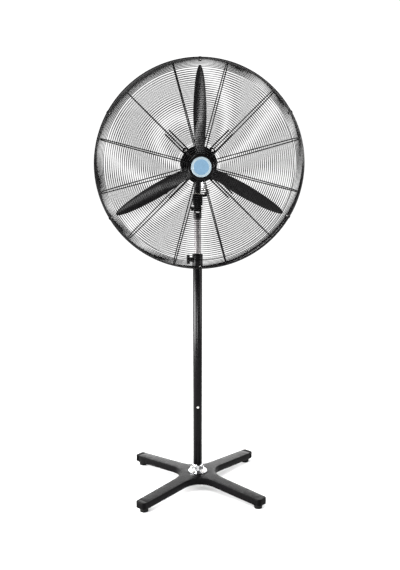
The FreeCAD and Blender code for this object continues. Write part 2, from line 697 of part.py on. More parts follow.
def make_blades():
    sections = [blade_section(*station) for station in BLADE_STATIONS]
    blade = Part.makeLoft(sections, True, False)
    for hole in blade_screw_places():
        blade = blade.cut(hole_along_blade(hole, 3.0))
    screws = []
    for number, angle in enumerate(BLADE_ANGLES, 1):
        save("fan_blade_%d" % number, place_blade(blade, angle))
        for x, z in blade_screw_places():
            screw = pan_screw(3.0, 9.5, 5.5, 2.6, V(x, -BLADE_THICK / 2 - 0.6, z), Y)
            screws.append(place_blade(pad_on_blade(screw), angle))
    save_group("blade_screws", screws)


def make_hub_nut():
    washer = tube(12, 5.0, on_axis(-174), Y, 2)
    nut = hex_head(on_axis(-174), FORWARD, 17.0, 9)
    dome = Part.makeSphere(7.6, on_axis(-183)).common(cylinder(8, on_axis(-183), FORWARD, 12))
    nut = nut.fuse(dome).cut(cylinder(5.0, on_axis(-190), Y, 20))
    save_group("hub_nut", [washer, nut.removeSplitter()])


# --- oscillation gear -------------------------------------------------------
def make_worm_wheel():
    root = WHEEL_R - 1.6
    outline = []
    step = 2 * math.pi / WHEEL_TEETH
    for k in range(WHEEL_TEETH):
        middle = math.pi + k * step
        for radius, part in ((root, -0.26), (WHEEL_R + 1.0, -0.11), (WHEEL_R + 1.0, 0.11), (root, 0.26)):
            outline.append(V(radius * math.cos(middle + part * step),
                             radius * math.sin(middle + part * step), 0))
    teeth = Part.Face(Part.makePolygon(outline + [outline[0]])).extrude(V(0, 0, 5))
    teeth.translate(V(CRANK_X, CRANK_Y, HEAD_Z - 2.5))
    wheel = teeth.fuse(cylinder(9.0, V(CRANK_X, CRANK_Y, HEAD_Z - 6), Z, 12))
    save("worm_wheel", wheel.cut(cylinder(CRANK_R + FIT, V(CRANK_X, CRANK_Y, HEAD_Z - 10), Z, 20)))


def make_gearbox():
    low = (-16, 49, HEAD_Z - 13)
    high = (57, 107, HEAD_Z + 13)
    box = block(low, high)
    box = box.makeFillet(5.0, [e for e in box.Edges if abs(e.tangentAt(e.FirstParameter).z) > 0.99])
    box = box.cut(block((-10, 52, HEAD_Z - 10), (54, 104, HEAD_Z + 20)))
    box = box.fuse(cylinder(12.0, V(CRANK_X, CRANK_Y, HEAD_Z - 24), Z, 12))
    box = box.cut(cylinder(8.0, V(CRANK_X, CRANK_Y, HEAD_Z - 30), Z, 25))
    box = box.cut(cylinder(6.0, on_axis(45), Y, 10))
    for x, y in gearbox_screw_points():
        box = box.cut(cylinder(1.6, V(x, y, HEAD_Z + 4), Z, 12))
    save("gearbox_housing", box.removeSplitter())
    lid = block((-16, 49, HEAD_Z + 13), (57, 107, HEAD_Z + 16))
    lid = lid.makeFillet(5.0, [e for e in lid.Edges if abs(e.tangentAt(e.FirstParameter).z) > 0.99])
    lid = lid.cut(cylinder(2.5 + FIT, V(CRANK_X, CRANK_Y, HEAD_Z), Z, 30))
    for x, y in gearbox_screw_points():
        lid = lid.cut(cylinder(1.6, V(x, y, HEAD_Z + 4), Z, 20))
    save("gearbox_lid", lid)
    save("crank_bush", tube(8.0, CRANK_R + FIT, V(CRANK_X, CRANK_Y, HEAD_Z - 25), Z, 15))


def gearbox_screw_points():
    return ((-13, 58), (-13, 98))


def make_crank():
    shaft = cylinder(CRANK_R, V(CRANK_X, CRANK_Y, CRANK_ARM_Z), Z, HEAD_Z + 12.4 - CRANK_ARM_Z)
    shaft = shaft.cut(cylinder(2.6, V(CRANK_X, CRANK_Y, HEAD_Z + 4), Z, 20))
    save("crank_shaft", shaft.cut(block((0, 70, CRANK_ARM_Z), (CRANK_X - 3.5, 90, CRANK_ARM_Z + CRANK_ARM_THICK))))
    arm = block((CRANK_X, CRANK_Y - 8, CRANK_ARM_Z),
                (CRANK_X + CRANK_THROW, CRANK_Y + 8, CRANK_ARM_Z + CRANK_ARM_THICK))
    for x, radius in ((CRANK_X, 10.0), (CRANK_X + CRANK_THROW, 8.0)):
        arm = arm.fuse(cylinder(radius, V(x, CRANK_Y, CRANK_ARM_Z), Z, CRANK_ARM_THICK))
    bore = cylinder(CRANK_R, V(CRANK_X, CRANK_Y, CRANK_ARM_Z), Z, 10)
    bore = bore.cut(block((0, 70, CRANK_ARM_Z - 1), (CRANK_X - 3.5, 90, CRANK_ARM_Z + 20)))
    arm = arm.cut(bore)
    pin_top = CRANK_ARM_Z + 1
    pin = cylinder(3.5, V(CRANK_X + CRANK_THROW, CRANK_Y, LINK_Z - 2.5), Z, pin_top - LINK_Z + 2.5)
    save("crank_arm", arm.fuse(pin).removeSplitter())


def make_link_bar():
    eye = V(ANCHOR_X + EYE_OFFSET, 0, LINK_Z)
    pin = V(CRANK_X + CRANK_THROW, CRANK_Y, LINK_Z)
    run = pin - eye
    bar = block((0, -4.5, 0), (run.Length, 4.5, LINK_THICK))
    bar.rotate(V(0, 0, 0), Z, math.degrees(math.atan2(run.y, run.x)))
    bar.translate(eye)
    link = bar.fuse(cylinder(EYE_R + EYE_WALL, eye, Z, LINK_THICK)).fuse(cylinder(7.5, pin, Z, LINK_THICK))
    link = link.cut(cylinder(EYE_R, eye - Z, Z, 20)).cut(cylinder(3.5 + FIT, pin - Z, Z, 20))
    save("link_bar", link.removeSplitter())


def make_clutch_pin():
    top = math.sqrt(COVER_R ** 2 - CRANK_X ** 2)
    pin = cylinder(2.5, V(CRANK_X, CRANK_Y, HEAD_Z + 5), Z, top)
    knob = cylinder(9.0, V(CRANK_X, CRANK_Y, HEAD_Z + top + 5), Z, 14)
    knob = knob.makeFillet(2.5, [e for e in knob.Edges if e.CenterOfMass.z > HEAD_Z + top + 15
                                 and isinstance(e.Curve, Part.Circle)])
    save("clutch_pin", pin.fuse(knob).removeSplitter())


# --- rear cover and its contents --------------------------------------------
def make_rear_cover():
    inner = COVER_R - COVER_WALL
    rear = COVER_REAR - COVER_WALL
    profile = [(inner, MOTOR_REAR + TOUCH), (COVER_R, MOTOR_REAR + TOUCH), (COVER_R, COVER_REAR - 14),
               (COVER_R - 5, COVER_REAR - 4), (COVER_R - 15, COVER_REAR), (0, COVER_REAR), (0, rear),
               (COVER_R - 16, rear), (inner - 4.5, rear - 3.5), (inner, rear - 12)]
    cover = turned_head(profile)
    cover = cover.cut(cylinder(3.0, V(CRANK_X, CRANK_Y, HEAD_Z), Z, 80))
    cover = cover.cut(cylinder(13.0, V(CRANK_X, CRANK_Y, HEAD_Z - 80), Z, 70))
    cover = cover.cut(cylinder(5.0, on_axis(100, 0, -32), Y, 40))
    cover = cover.cut(cylinder(7.0, on_axis(100, -22), DOWN, 80))
    for k in range(7):
        slot = block((-27, COVER_REAR - 10, HEAD_Z + 4 + 6 * k), (27, COVER_REAR + 5, HEAD_Z + 7 + 6 * k))
        cover = cover.cut(slot)
    for angle in COVER_SCREW_ANGLES:
        cover = cover.cut(cylinder(2.0, around(50, angle, MOTOR_REAR + 4), radial(angle), 20))
    save("rear_cover", cover)


def make_switch():
    body = block((-14, 100, HEAD_Z - 46), (14, COVER_REAR - COVER_WALL, HEAD_Z - 18))
    spindle = cylinder(3.0, on_axis(COVER_REAR - COVER_WALL - 1, 0, -32), Y, 13)
    save("rotary_switch", body.fuse(spindle).removeSplitter())
    start = COVER_REAR + GAP
    knob = cylinder(16.0, on_axis(start, 0, -32), Y, 14)
    knob = knob.makeFillet(2.0, [e for e in knob.Edges if e.CenterOfMass.y > start + 13
                                 and isinstance(e.Curve, Part.Circle)])
    grip = block((-3.5, start + 9, HEAD_Z - 32 - 18), (3.5, start + 17, HEAD_Z - 32 + 14))
    knob = knob.fuse(grip).cut(cylinder(3.0 + FIT, on_axis(start - 1, 0, -32), Y, 11))
    save("speed_knob", knob.removeSplitter())


def make_capacitor():
    body = cylinder(13.0, V(-40, 78, HEAD_Z + 31), X, 48)
    save("run_capacitor", body.makeFillet(2.0, [e for e in body.Edges if isinstance(e.Curve, Part.Circle)]))


def make_cable_gland():
    wall = math.sqrt(COVER_R ** 2 - 22 ** 2)
    thread = cylinder(7.0, on_axis(100, -22, -wall - 4), Z, 14)
    nut = hex_head(on_axis(100, -22, -wall - 3.6), DOWN, 20, 6)
    nose = Part.makeCone(8.5, 6.0, 8, on_axis(100, -22, -wall - 9.6), DOWN)
    gland = thread.fuse(nut).fuse(nose).cut(cylinder(4.0, on_axis(100, -22, -wall - 30), Z, 50))
    save("cable_gland", gland.removeSplitter())


# --- guard ------------------------------------------------------------------
def guard_path(apex, dome, corner, rim_y):
    """Radii and heights of a guard half's meridian, as a dome arc and a corner arc.

    Returns the sign of forward, the dome's centre, the corner's centre and the angle where they meet.
    """
    forward = -1 if apex < rim_y else 1
    dome_centre = apex - forward * dome
    corner_r = SPOKE_WALL_R - corner
    corner_y = dome_centre + forward * math.sqrt((dome - corner) ** 2 - corner_r ** 2)
    meet = math.asin(corner_r / (dome - corner))
    return forward, dome_centre, corner_r, corner_y, meet


def guard_point(shape, rise, distance, outward):
    """A point on a guard half's meridian, measured along it from the fan axis.

    rise is its (apex, dome, corner, rim_y); outward shifts the point out of the surface.
    The meridian ends in a straight run along the fan axis.
    """
    forward, dome_centre, corner_r, corner_y, meet = shape
    _, dome, corner, _ = rise
    dome_length = dome * meet
    corner_length = corner * (math.pi / 2 - meet)
    if distance <= dome_length:
        angle = distance / dome
        radius = dome + outward
        return radius * math.sin(angle), dome_centre + forward * radius * math.cos(angle)
    if distance <= dome_length + corner_length:
        angle = meet + (distance - dome_length) / corner
        radius = corner + outward
        return corner_r + radius * math.sin(angle), corner_y + forward * radius * math.cos(angle)
    over = distance - dome_length - corner_length
    return SPOKE_WALL_R + outward, corner_y - forward * over


def ring_wire(radius, y):
    """A closed ring of thin wire on the fan axis, with an eight-sided section."""
    corners = [math.radians(45 * k) for k in range(8)]
    return turned_head([(radius + RING_WIRE * math.cos(a), y + RING_WIRE * math.sin(a)) for a in corners])


def meridian_length(shape, rise):
    forward, _, _, corner_y, meet = shape
    _, dome, corner, rim_y = rise
    return dome * meet + corner * (math.pi / 2 - meet) + abs(corner_y - rim_y)


def make_guard_rings(name, shape, rise, start):
    """Thin rings at an even pitch outside the spokes, and the thick rim ring."""
    lift = SPOKE_WIRE + RING_WIRE + TOUCH
    last = meridian_length(shape, rise) - RIM_CLEAR
    dome_end = rise[1] * shape[4]
    rings = []
    distance = start
    while distance <= last:
        radius, y = guard_point(shape, rise, distance, lift)
        rings.append(ring_wire(radius, y))
        distance += RING_PITCH if distance < dome_end else EDGE_PITCH
    rings.append(Part.makeTorus(GUARD_R - RIM_WIRE, RIM_WIRE, on_axis(rise[3]), Y))
    save_group(name + "_guard_rings", rings)


def spoke_wire(shape, rise, start):
    """One spoke along the meridian, pointing along +X."""
    _, dome, corner, _ = rise
    dome_end = dome * shape[4]
    corner_end = dome_end + corner * (math.pi / 2 - shape[4])

    def at(distance):
        radius, y = guard_point(shape, rise, distance, 0)
        return on_axis(y, radius)

    edges = [Part.Arc(at(start), at((start + dome_end) / 2), at(dome_end)).toShape(),
             Part.Arc(at(dome_end), at((dome_end + corner_end) / 2), at(corner_end)).toShape(),
             Part.LineSegment(at(corner_end), at(meridian_length(shape, rise))).toShape()]
    profile = Part.Wire(Part.makeCircle(SPOKE_WIRE, at(start), X))
    return Part.Wire(edges).makePipeShell([profile], True, False)


def make_guard_half(name, rise, spoke_start, lug_spoke_start, ring_start):
    shape = guard_path(*rise)
    make_guard_rings(name, shape, rise, ring_start)
    spokes = []
    for k in range(SPOKES):
        angle = SPOKE_PHASE + 360.0 / SPOKES * k
        spoke = spoke_wire(shape, rise, lug_spoke_start if angle in LUG_ANGLES else spoke_start)
        spoke.rotate(on_axis(0), Y, angle)
        spokes.append(spoke)
    save_group(name + "_guard_spokes", spokes)


def make_guard_centre():
    front = FRONT_APEX - SPOKE_WIRE
    profile = [(0, front), (PLATE_R, front), (PLATE_R, front - 1.5), (PLATE_R - 3, front - 3.5),
               (BADGE_R + 0.5, front - 3.5), (BADGE_R + 0.5, front - 2), (0, front - 2)]
    save("front_centre_plate", turned_head(profile))
    face = front - 2
    badge = turned_head([(0, face), (BADGE_R, face), (BADGE_R, face - 2.5), (BADGE_R - 1.5, face - 4),
                         (BADGE_R - 4, face - 4), (BADGE_R - 5, face - 3.4), (0, face - 3.8)])
    save("badge_disc", badge)


def make_rear_mount():
    """Saves the plate and struts that carry the guard, and returns their screws."""
    plate_front = MOTOR_FRONT - MOUNT_THICK
    plate = cylinder(MOUNT_R, on_axis(plate_front), Y, MOUNT_THICK)
    for angle in LUG_ANGLES:
        plate = plate.fuse(cylinder(MOUNT_EAR, around(LUG_RADIUS, angle, plate_front), Y, MOUNT_THICK))
    plate = plate.cut(cylinder(MOUNT_BORE, on_axis(plate_front), Y, MOUNT_THICK))
    for angle in LUG_ANGLES:
        plate = plate.cut(cylinder(2.6, around(LUG_RADIUS, angle, plate_front), Y, MOUNT_THICK))
    pieces = [plate.removeSplitter()]
    strut_y = plate_front - STRUT_R - TOUCH
    for angle in LUG_ANGLES:
        for side in (-STRUT_OFFSET, STRUT_OFFSET):
            start = on_axis(strut_y, STRUT_START, side)
            strut = cylinder(STRUT_R, start, V(1, -STRUT_LEAN, 0), STRUT_END - STRUT_START)
            strut.rotate(on_axis(0), Y, angle)
            pieces.append(strut)
    save_group("rear_guard_mount", pieces)
    return [pan_screw(2.5, 12, 5.0, 3.2, around(LUG_RADIUS, angle, plate_front), Y)
            for angle in LUG_ANGLES]


def rim_clip():
    """A sheet clip over both rim wires at +X, with its screw and nut."""
    inner = GUARD_R - 2 * RIM_WIRE
    seat = inner - CLIP_SCREW
    low = BLADE_Y - CLIP_DEPTH
    high = BLADE_Y + CLIP_DEPTH
    body = block((seat - CLIP_HALF, low - CLIP_SHEET, -CLIP_HALF),
                 (GUARD_R + 0.05 + CLIP_SHEET, high + CLIP_SHEET, CLIP_HALF))
    inside = block((seat - CLIP_HALF, low, -CLIP_HALF), (GUARD_R + 0.05, high, CLIP_HALF))
    hole = cylinder(2.1, V(seat, low - CLIP_SHEET, 0), Y, 2 * (CLIP_DEPTH + CLIP_SHEET))
    screw = pan_screw(2.0, 2 * (CLIP_DEPTH + CLIP_SHEET) + 2.5, 3.6, 2.0, V(seat, low - CLIP_SHEET, 0), Y)
    nut = hex_head(V(seat, high + CLIP_SHEET, 0), Y, 7.0, 2.4)
    nut = nut.cut(cylinder(2.0, V(seat, high, 0), Y, 10))
    return body.cut(inside).cut(hole).removeSplitter(), screw, nut


def make_guard_clips(mount_screws):
    clips = []
    screws = list(mount_screws)
    for k in range(CLIPS):
        clip, screw, nut = rim_clip()
        for piece, group in ((clip, clips), (screw, screws), (nut, screws)):
            piece.translate(V(0, 0, HEAD_Z))
            piece.rotate(on_axis(0), Y, 30 + 360.0 / CLIPS * k)
            group.append(piece)
    save_group("guard_clips", clips)
    save_group("guard_screws", screws)


def main():
    os.makedirs("parts", exist_ok=True)
    make_base_cross()
    make_arm_ends()
    make_pole_flange()
    make_flange_bolts()
    make_outer_pole()
    make_pole_screws()
    make_pole_bush()
    make_height_collar()
    make_height_knob()
    make_inner_pole()
    make_neck_socket()
    make_tilt_bolt()
    make_tilt_wing_nut()
    make_tilt_bracket()
    make_tilt_hardware()
    make_head_stem()
    make_motor_front_shell()
    make_motor_rear_shell()
    make_housing_screws()
    make_stator()
    make_bearings()
    make_motor_shaft()
    make_rotor_core()
    make_worm()
    make_fan_hub()
    make_blades()
    make_hub_nut()
    make_worm_wheel()
    make_gearbox()
    make_crank()
    make_link_bar()
    make_clutch_pin()
    make_rear_cover()
    make_switch()
    make_capacitor()
    make_cable_gland()
    make_guard_half("front", (FRONT_APEX, FRONT_DOME, FRONT_CORNER, BLADE_Y - RIM_HALF_GAP),
                    FRONT_SPOKE_START, FRONT_SPOKE_START, FRONT_RING_START)
    make_guard_half("rear", (REAR_APEX, REAR_DOME, REAR_CORNER, BLADE_Y + RIM_HALF_GAP),
                    REAR_SPOKE_START, LUG_SPOKE_START, REAR_RING_START)
    make_guard_centre()
    make_guard_clips(make_rear_mount())


main()
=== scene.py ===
import json
import math

import bpy
from mathutils import Matrix, Vector


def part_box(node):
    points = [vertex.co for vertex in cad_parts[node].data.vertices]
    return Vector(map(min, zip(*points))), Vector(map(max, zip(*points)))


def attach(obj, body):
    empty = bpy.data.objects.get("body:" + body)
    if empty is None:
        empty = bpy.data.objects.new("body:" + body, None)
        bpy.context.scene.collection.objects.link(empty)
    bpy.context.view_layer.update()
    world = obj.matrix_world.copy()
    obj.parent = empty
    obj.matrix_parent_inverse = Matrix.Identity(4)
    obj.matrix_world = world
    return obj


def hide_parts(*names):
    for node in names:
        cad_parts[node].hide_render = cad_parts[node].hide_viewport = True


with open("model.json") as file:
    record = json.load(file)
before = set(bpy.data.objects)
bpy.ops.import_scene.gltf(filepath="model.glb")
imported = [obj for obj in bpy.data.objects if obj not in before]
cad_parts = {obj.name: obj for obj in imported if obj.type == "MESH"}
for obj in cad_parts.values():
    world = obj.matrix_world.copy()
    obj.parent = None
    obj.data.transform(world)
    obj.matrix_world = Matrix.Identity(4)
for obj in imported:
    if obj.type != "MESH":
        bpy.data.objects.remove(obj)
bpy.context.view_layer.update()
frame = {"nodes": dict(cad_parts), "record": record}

# A pedestal fan: fine meshes, materials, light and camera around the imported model. Metres.
MM = 0.001
SLOTS = {row["node"]: row["material_slot"] for row in frame["record"]["subparts"]}
BODY_OF = {node: body for body, nodes in frame["record"]["behaviour"]["bodies"].items() for node in nodes}


# --- places from the frame --------------------------------------------------
def corners(node):
    low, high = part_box(node)
    return Vector(low), Vector(high)


def centre(node):
    low, high = corners(node)
    return (low + high) / 2


FAN_Z = centre("motor_shaft").z
RINGS_LOW, RINGS_HIGH = corners("front_guard_rings")
GUARD_R = (RINGS_HIGH.x - RINGS_LOW.x) / 2
RIM_WIRE = 3.25 * MM
SPOKE_WIRE = 2.25 * MM
RING_WIRE = 1.0 * MM
RING_PITCH = 8.0 * MM
EDGE_PITCH = 5.0 * MM
RIM_CLEAR = 6.0 * MM
WELD_GAP = 0.02 * MM
WELD_REACH = 0.005 * MM
FRONT_RIM_Y = RINGS_HIGH.y - RIM_WIRE
REAR_RIM_Y = corners("rear_guard_rings")[0].y + RIM_WIRE
BLADE_Y = (FRONT_RIM_Y + REAR_RIM_Y) / 2
SPOKES = 12
SPOKE_PHASE = math.radians(15)
SPOKE_WALL_R = GUARD_R - 2 * RIM_WIRE - SPOKE_WIRE
SPOKE_STEPS = 64
SPOKE_BUNCHING = 1.6

# Guard halves: y of the dome's top, dome and corner radius, and where along the outline the
# ordinary spokes, every third spoke and the first ring start
FRONT_HALF = {"apex": -213.0 * MM, "dome": 3200 * MM, "corner": 38 * MM,
              "spoke_start": 42 * MM, "third_spoke_start": 42 * MM, "ring_start": 56 * MM}
REAR_HALF = {"apex": -86.75 * MM, "dome": 3600 * MM, "corner": 34 * MM,
             "spoke_start": 66 * MM, "third_spoke_start": 80 * MM, "ring_start": 90 * MM}

POLE_WALL = 1.5 * MM
POLE_EDGE = 0.4 * MM

RIM_PAINT_R = 29.5 * MM
BADGE_SIDE = 2.5 * MM
BADGE_CHAMFER = 1.5 * MM
BADGE_STEP = 1.0 * MM
BADGE_SINK = 0.6 * MM
BADGE_CROWN_SINK = 0.2 * MM
BADGE_EDGE = 0.6 * MM


# --- mesh tools -------------------------------------------------------------
def make_piece(name, node, points, faces, smooth=35):
    """A mesh that stands for a CAD node, rides on its body and takes its slot and material."""
    mesh = bpy.data.meshes.new(name)
    mesh.from_pydata([tuple(p) for p in points], [], faces)
    mesh.validate()
    mesh.polygons.foreach_set("use_smooth", [True] * len(mesh.polygons))
    mesh.set_sharp_from_angle(angle=math.radians(smooth))
    piece = bpy.data.objects.new(name, mesh)
    bpy.context.scene.collection.objects.link(piece)
    mesh.materials.append(MATERIALS[SLOTS[node]])
    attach(piece, BODY_OF[node])
    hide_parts(node)
    return piece


class Mesh:
    """Points and faces gathered from several closed shapes."""

    def __init__(self):
        self.points = []
        self.faces = []

    def add(self, points, faces):
        base = len(self.points)
        self.points += points
        self.faces += [tuple(base + i for i in face) for face in faces]


def grid_faces(rows, columns, close_rows=False):
    """Quads of a grid of points kept row by row, where each row closes on itself."""
    faces = []
    for i in range(rows if close_rows else rows - 1):
        for j in range(columns):
            i2, j2 = (i + 1) % rows, (j + 1) % columns
            faces.append((i * columns + j, i * columns + j2, i2 * columns + j2, i2 * columns + j))
    return faces


def axes_for(axis):
    """Two directions across an axis, so that (first, second, axis) is right-handed."""
    axis = Vector(axis).normalized()
    first = axis.orthogonal().normalized() if abs(axis.y) < 0.9 else Vector((1, 0, 0))
    return first, axis.cross(first), axis


def lathe(profile, origin, axis, segments=96):
    """A closed profile of (radius, height) turned about an axis."""
    first, second, axis = axes_for(axis)
    points = []
    for k in range(segments):
        angle = 2 * math.pi * k / segments
        out = first * math.cos(angle) + second * math.sin(angle)
        points += [Vector(origin) + out * r + axis * h for r, h in profile]
    faces = grid_faces(segments, len(profile), True)
    area = sum(a[0] * b[1] - b[0] * a[1] for a, b in zip(profile, profile[1:] + profile[:1]))
    if area > 0:
        faces = [face[::-1] for face in faces]
    return points, faces


NEARLY_ZERO = 1e-6
NEARLY_STRAIGHT = 0.15
LONGEST_CUT = 0.45


def soften(profile, radius, steps=3):
    """Rounds the corners of a closed profile; points on the axis stay."""
    out = []
    count = len(profile)
    for i, here in enumerate(profile):
        before, after = profile[i - 1], profile[(i + 1) % count]
        a = Vector(before) - Vector(here)
        b = Vector(after) - Vector(here)
        on_axis = here[0] < NEARLY_ZERO
        if on_axis or min(a.length, b.length) < NEARLY_ZERO or math.pi - a.angle(b) < NEARLY_STRAIGHT:
            out.append(tuple(here))
            continue
        cut = min(radius, a.length * LONGEST_CUT, b.length * LONGEST_CUT)
        start = Vector(here) + a.normalized() * cut
        end = Vector(here) + b.normalized() * cut
        for k in range(steps + 1):
            t = k / steps
            point = start * (1 - t) ** 2 + Vector(here) * 2 * t * (1 - t) + end * t ** 2
            out.append(tuple(point))
    return out


def sweep(path, radius, sides=12):
    """A round wire along a path of points, closed at both ends."""
    points = []
    side = None
    for i, point in enumerate(path):
        ahead = path[min(i + 1, len(path) - 1)] - path[max(i - 1, 0)]
        ahead.normalize()
        if side is None:
            side = ahead.orthogonal().normalized()
        side = (side - ahead * side.dot(ahead)).normalized()
        other = ahead.cross(side)
        for k in range(sides):
            angle = 2 * math.pi * k / sides
            points.append(point + side * radius * math.cos(angle) + other * radius * math.sin(angle))
    faces = grid_faces(len(path), sides)
    faces.append(tuple(range(sides))[::-1])
    faces.append(tuple((len(path) - 1) * sides + k for k in range(sides)))
    return points, faces


def torus(ring_r, wire_r, y, segments=144, sides=8):
    profile = [(ring_r + wire_r * math.cos(2 * math.pi * k / sides),
                wire_r * math.sin(2 * math.pi * k / sides)) for k in range(sides)]
    return lathe(profile, (0, y, FAN_Z), (0, 1, 0), segments)


# --- materials --------------------------------------------------------------
def surface(name, colour, roughness, metallic=0.0, vary=0.12, scale=60.0, rough_vary=0.08,
            bump=0.05, bump_scale=900.0, specular=0.5, stretch=(1, 1, 1)):
    """A principled material whose colour, roughness and relief drift with noise."""
    material = bpy.data.materials.new(name)
    material.use_nodes = True
    nodes = material.node_tree.nodes
    links = material.node_tree.links
    shader = nodes["Principled BSDF"]
    shader.inputs["Metallic"].default_value = metallic
    shader.inputs["Specular IOR Level"].default_value = specular
    place = nodes.new("ShaderNodeTexCoord")
    stretched = nodes.new("ShaderNodeMapping")
    stretched.inputs["Scale"].default_value = stretch
    links.new(place.outputs["Object"], stretched.inputs["Vector"])

    drift = nodes.new("ShaderNodeTexNoise")
    drift.inputs["Scale"].default_value = scale
    drift.inputs["Detail"].default_value = 4.0
    links.new(stretched.outputs["Vector"], drift.inputs["Vector"])
    ramp = nodes.new("ShaderNodeValToRGB")
    ramp.color_ramp.elements[0].position = 0.3
    ramp.color_ramp.elements[1].position = 0.7
    ramp.color_ramp.elements[0].color = [c * (1 - vary) for c in colour] + [1]
    ramp.color_ramp.elements[1].color = [min(1, c * (1 + vary)) for c in colour] + [1]
    links.new(drift.outputs["Fac"], ramp.inputs["Fac"])
    links.new(ramp.outputs["Color"], shader.inputs["Base Color"])

    spread = nodes.new("ShaderNodeMapRange")
    spread.inputs["To Min"].default_value = max(0.02, roughness - rough_vary)
    spread.inputs["To Max"].default_value = roughness + rough_vary
    links.new(drift.outputs["Fac"], spread.inputs["Value"])
    links.new(spread.outputs["Result"], shader.inputs["Roughness"])

    grain = nodes.new("ShaderNodeTexNoise")
    grain.inputs["Scale"].default_value = bump_scale
    grain.inputs["Detail"].default_value = 3.0
    links.new(stretched.outputs["Vector"], grain.inputs["Vector"])
    relief = nodes.new("ShaderNodeBump")
    relief.inputs["Strength"].default_value = bump
    relief.inputs["Distance"].default_value = 0.0005
    links.new(grain.outputs["Fac"], relief.inputs["Height"])
    links.new(relief.outputs["Normal"], shader.inputs["Normal"])
    return material


MATERIALS = {
    "gloss_black_paint": surface("gloss_black_paint", (0.0018, 0.0016, 0.0018), 0.22,
                                 specular=0.065, rough_vary=0.05, bump=0.03, bump_scale=350),
    "satin_black_paint": surface("satin_black_paint", (0.0016, 0.0014, 0.0016), 0.28, bump=0.12,
                                 specular=0.045, bump_scale=1400),
    "black_plastic": surface("black_plastic", (0.0014, 0.0013, 0.0014), 0.38, specular=0.03,
                             bump=0.10, bump_scale=1800),
    "blade_black": surface("blade_black", (0.0035, 0.0032, 0.0035), 0.28, specular=0.15, bump=0.05,
                           bump_scale=700),
    "rubber": surface("rubber", (0.005, 0.005, 0.005), 0.75, specular=0.1, bump=0.25,
                      bump_scale=1200),
    "chrome": surface("chrome", (0.42, 0.42, 0.43), 0.14, metallic=1.0, vary=0.03, rough_vary=0.04,
                      bump=0.01),
    "zinc_steel": surface("zinc_steel", (0.66, 0.65, 0.62), 0.38, metallic=0.75, vary=0.08, scale=200,
                          bump=0.04),
    "steel_tube": surface("steel_tube", (0.130, 0.122, 0.124), 0.48, metallic=0.25, vary=0.06,
                          scale=30, stretch=(14, 14, 1), bump=0.05, bump_scale=300),
    "machined_steel": surface("machined_steel", (0.56, 0.56, 0.57), 0.25, metallic=1.0, vary=0.06,
                              scale=300, bump=0.05),
    "laminations": surface("laminations", (0.20, 0.20, 0.21), 0.5, metallic=0.8, scale=100,
                           stretch=(1, 30, 1), bump=0.2, bump_scale=300),
    "copper": surface("copper", (0.34, 0.14, 0.07), 0.32, metallic=0.9, scale=150,
                      stretch=(1, 8, 1), bump=0.3, bump_scale=600),
    "bronze": surface("bronze", (0.52, 0.36, 0.16), 0.35, metallic=1.0, scale=200),
    "cast_aluminium": surface("cast_aluminium", (0.52, 0.51, 0.49), 0.45, metallic=0.9, scale=120,
                              bump=0.25, bump_scale=900),
    "nylon": surface("nylon", (0.72, 0.69, 0.60), 0.5, vary=0.05, bump=0.08),
    "blue_badge": surface("blue_badge", (0.083, 0.152, 0.221), 0.32, vary=0.02, scale=40, bump=0.03),
    "bright_zinc": surface("bright_zinc", (0.62, 0.61, 0.60), 0.35, metallic=0.2, vary=0.06, scale=200),
    "blackened_steel": surface("blackened_steel", (0.02, 0.02, 0.021), 0.4, metallic=0.6, specular=0.2),
    "grey_plastic": surface("grey_plastic", (0.36, 0.37, 0.39), 0.45, vary=0.06, bump=0.1),
}


LOOKS = {"blade_screws": "blackened_steel", "hub_nut": "blackened_steel",
         "fan_hub": "satin_black_paint", "guard_screws": "bright_zinc"}
EDGES = {"base_cross": 2.0 * MM, "motor_front_shell": 0.15 * MM, "arm_end_caps": 0.8 * MM,
         "tilt_bracket": 1.2 * MM, "neck_socket": 0.8 * MM, "height_knob": 0.8 * MM,
         "head_stem": 0.8 * MM}
WIDEST_EDGE = 0.6 * MM
EDGE_SHARE = 0.04


def dress_nodes():
    """Gives each CAD node its material and soft, rounded edges."""
    for name, node in frame["nodes"].items():
        node.data.materials.clear()
        node.data.materials.append(MATERIALS[LOOKS.get(name, SLOTS[name])])
        node.data.polygons.foreach_set("use_smooth", [True] * len(node.data.polygons))
        weld = node.modifiers.new("weld", "WELD")
        weld.merge_threshold = WELD_REACH
        low, high = corners(name)
        width = EDGES.get(name, min(WIDEST_EDGE, EDGE_SHARE * min(high - low)))
        bevel = node.modifiers.new("bevel", "BEVEL")
        bevel.width = width
        bevel.segments = 3
        bevel.limit_method = "ANGLE"
        bevel.angle_limit = math.radians(40)
        bevel.harden_normals = True


# --- guard ------------------------------------------------------------------
class Meridian:
    """A guard half's outline: a shallow dome arc, a tight corner arc and a straight rim wall."""

    def __init__(self, apex, dome, corner, rim_y):
        self.forward = -1 if apex < rim_y else 1
        self.dome = dome
        self.corner = corner
        self.dome_y = apex - self.forward * dome
        self.corner_r = SPOKE_WALL_R - corner
        self.corner_y = self.dome_y + self.forward * math.sqrt((dome - corner) ** 2 - self.corner_r ** 2)
        self.meet = math.asin(self.corner_r / (dome - corner))
        self.dome_length = dome * self.meet
        self.corner_length = corner * (math.pi / 2 - self.meet)
        self.total = self.dome_length + self.corner_length + abs(self.corner_y - rim_y)

    def at(self, distance, outward=0.0):
        """(radius, y) at a distance along the outline from the fan axis."""
        if distance <= self.dome_length:
            angle = distance / self.dome
            size = self.dome + outward
            return size * math.sin(angle), self.dome_y + self.forward * size * math.cos(angle)
        over = distance - self.dome_length
        if over <= self.corner_length:
            angle = self.meet + over / self.corner
            size = self.corner + outward
            return (self.corner_r + size * math.sin(angle),
                    self.corner_y + self.forward * size * math.cos(angle))
        return SPOKE_WALL_R + outward, self.corner_y - self.forward * (over - self.corner_length)


